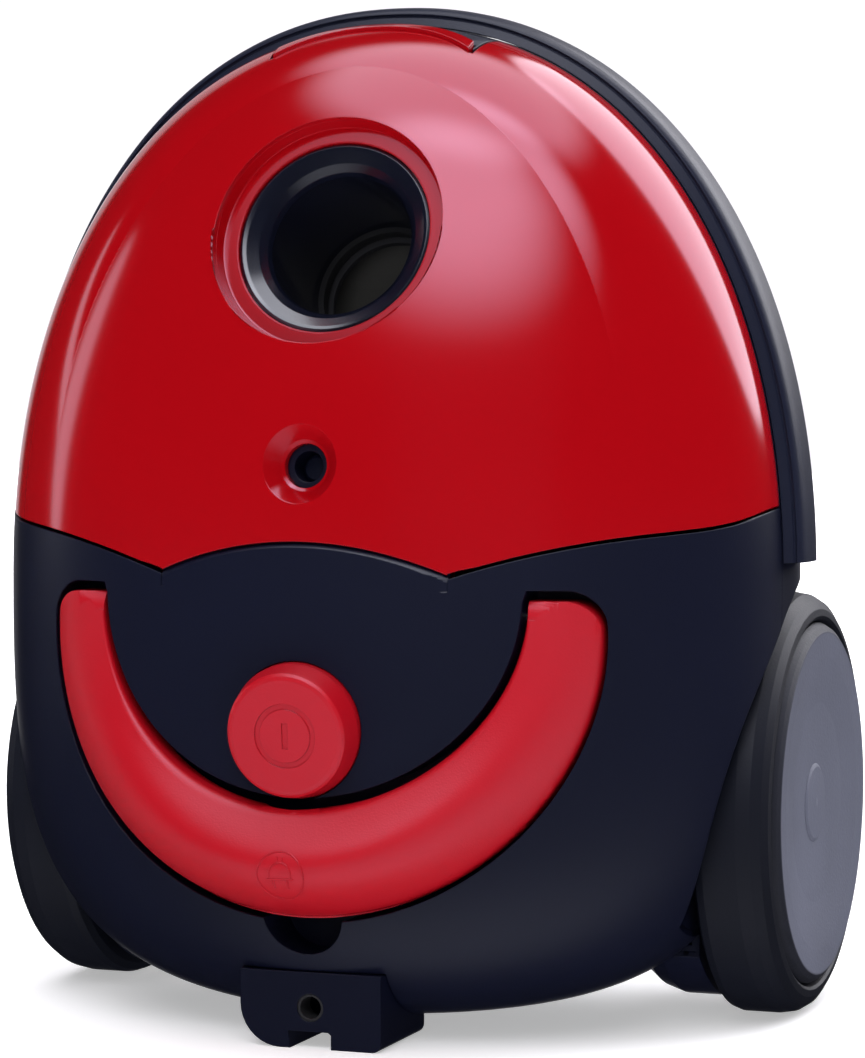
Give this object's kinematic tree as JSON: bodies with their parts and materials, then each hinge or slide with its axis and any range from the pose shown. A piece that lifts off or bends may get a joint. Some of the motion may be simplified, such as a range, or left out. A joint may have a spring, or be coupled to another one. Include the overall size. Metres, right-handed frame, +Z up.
{
  "type": "canister vacuum cleaner",
  "caption": "Compact bagged canister vacuum cleaner parked upright, with a domed lid, swing-up carrying handle, round power button and large side wheels.",
  "frame": {"origin": "on the floor under the middle of the cleaner, which stands parked on its rear end", "axes": "+Z up, towards the hose end; -Y the carrying side with lid, handle and power button; +Y the underside with caster; +X to the right seen from the carrying side"},
  "size_m": [0.289, 0.2206, 0.3435],
  "materials": {
    "red_gloss": "gloss",
    "red_satin": "satin",
    "black_satin": "satin",
    "black_rim": "satin",
    "black_gloss": "gloss",
    "hub_grey": "matt",
    "tyre_rubber": "matt",
    "seal_rubber": "matt",
    "steel": "brushed",
    "spring_steel": "bright",
    "inner_plastic": "moulded",
    "filter_foam": "open-cell foam",
    "motor_metal": "cast",
    "rotor_metal": "wound copper and steel",
    "board": "lacquered",
    "bag_paper": "paper fleece",
    "card": "pressed card"
  },
  "bodies": {
    "chassis": {"rear_cover": "black_satin", "base_pan": "black_satin", "bumper_rim": "black_rim", "cover_seal": "seal_rubber", "hinge_pins": "steel", "handle_pins": "steel", "button_spring": "spring_steel", "power_switch": "inner_plastic", "control_board": "board", "parking_bracket": "black_satin", "cord_outlet": "seal_rubber", "bulkhead": "inner_plastic", "motor_filter": "filter_foam", "filter_frame": "inner_plastic", "motor_housing": "motor_metal", "fan_housing": "motor_metal", "motor_bearings": "steel", "motor_mounts": "seal_rubber", "exhaust_grille": "black_satin", "exhaust_filter": "filter_foam", "reel_frame": "inner_plastic", "reel_spring": "spring_steel", "brake_pin": "steel", "wheel_axles": "steel", "caster_mount": "inner_plastic", "dust_bag": "bag_paper", "bag_collar": "card", "bag_holder": "inner_plastic", "case_screws": "steel"},
    "lid": {"dust_cover": "red_gloss", "hose_inlet": "black_gloss", "inlet_seal": "seal_rubber", "indicator_housing": "inner_plastic", "latch_pin": "steel", "latch_spring": "spring_steel", "indicator_spring": "spring_steel"},
    "latch": {"latch_tab": "red_gloss"},
    "bag_indicator": {"indicator_slider": "red_satin"},
    "handle": {"carry_handle": "red_satin"},
    "switch_button": {"power_button": "red_satin"},
    "left_wheel": {"wheel_left": "hub_grey", "tyre_left": "tyre_rubber", "cap_left": "hub_grey"},
    "right_wheel": {"wheel_right": "hub_grey", "tyre_right": "tyre_rubber", "cap_right": "hub_grey"},
    "caster_swivel": {"caster_fork": "inner_plastic", "caster_axle": "steel"},
    "caster_roller": {"caster_wheel": "tyre_rubber"},
    "motor": {"motor_rotor": "rotor_metal", "fan_impeller": "motor_metal"},
    "reel": {"reel_drum": "inner_plastic"},
    "brake": {"brake_lever": "inner_plastic"}
  },
  "joints": [
    {"name": "lid_hinge", "type": "hinge", "parent": "chassis", "child": "lid", "pos_m": [0, -0.0845, 0.151], "axis": [1, 0, 0], "range_deg": [0, 60]},
    {"name": "latch_press", "type": "slide", "parent": "lid", "child": "latch", "axis": [0, 0, -1], "range_m": [0, 0.0025], "stiffness_N_per_m": 400, "springref_m": -0.002, "deforming": ["latch_spring"]},
    {"name": "indicator_travel", "type": "slide", "parent": "lid", "child": "bag_indicator", "axis": [0, -0.9914, 0.1305], "range_m": [0, 0.005], "stiffness_N_per_m": 60, "springref_m": -0.002, "deforming": ["indicator_spring"]},
    {"name": "handle_swing", "type": "hinge", "parent": "chassis", "child": "handle", "pos_m": [0, -0.0745, 0.141], "axis": [-1, 0, 0], "range_deg": [0, 70]},
    {"name": "power_press", "type": "slide", "parent": "chassis", "child": "switch_button", "axis": [0, 0.9947, 0.1028], "range_m": [0, 0.004], "stiffness_N_per_m": 400, "springref_m": -0.001, "deforming": ["button_spring"]},
    {"name": "left_wheel_spin", "type": "hinge", "parent": "chassis", "child": "left_wheel", "pos_m": [-0.125, 0.0382, 0.072], "axis": [1, 0, 0], "continuous": true},
    {"name": "right_wheel_spin", "type": "hinge", "parent": "chassis", "child": "right_wheel", "pos_m": [0.125, 0.0382, 0.072], "axis": [1, 0, 0], "continuous": true},
    {"name": "caster_turn", "type": "hinge", "parent": "chassis", "child": "caster_swivel", "pos_m": [0, 0.062, 0.282], "axis": [0, 1, 0], "continuous": true},
    {"name": "caster_roll", "type": "hinge", "parent": "caster_swivel", "child": "caster_roller", "pos_m": [0, 0.0922, 0.27], "axis": [1, 0, 0], "continuous": true},
    {"name": "motor_spin", "type": "hinge", "parent": "chassis", "child": "motor", "pos_m": [0.034, 0, 0.09], "axis": [0, 0, 1], "continuous": true},
    {"name": "reel_spin", "type": "hinge", "parent": "chassis", "child": "reel", "pos_m": [-0.052, 0, 0.086], "axis": [1, 0, 0], "continuous": true},
    {"name": "brake_pivot", "type": "hinge", "parent": "chassis", "child": "brake", "pos_m": [-0.052, -0.057, 0.06], "axis": [1, 0, 0], "range_deg": [0, 12], "stiffness_Nm_per_rad": 0.1, "springref_deg": -5.73}
  ]
}
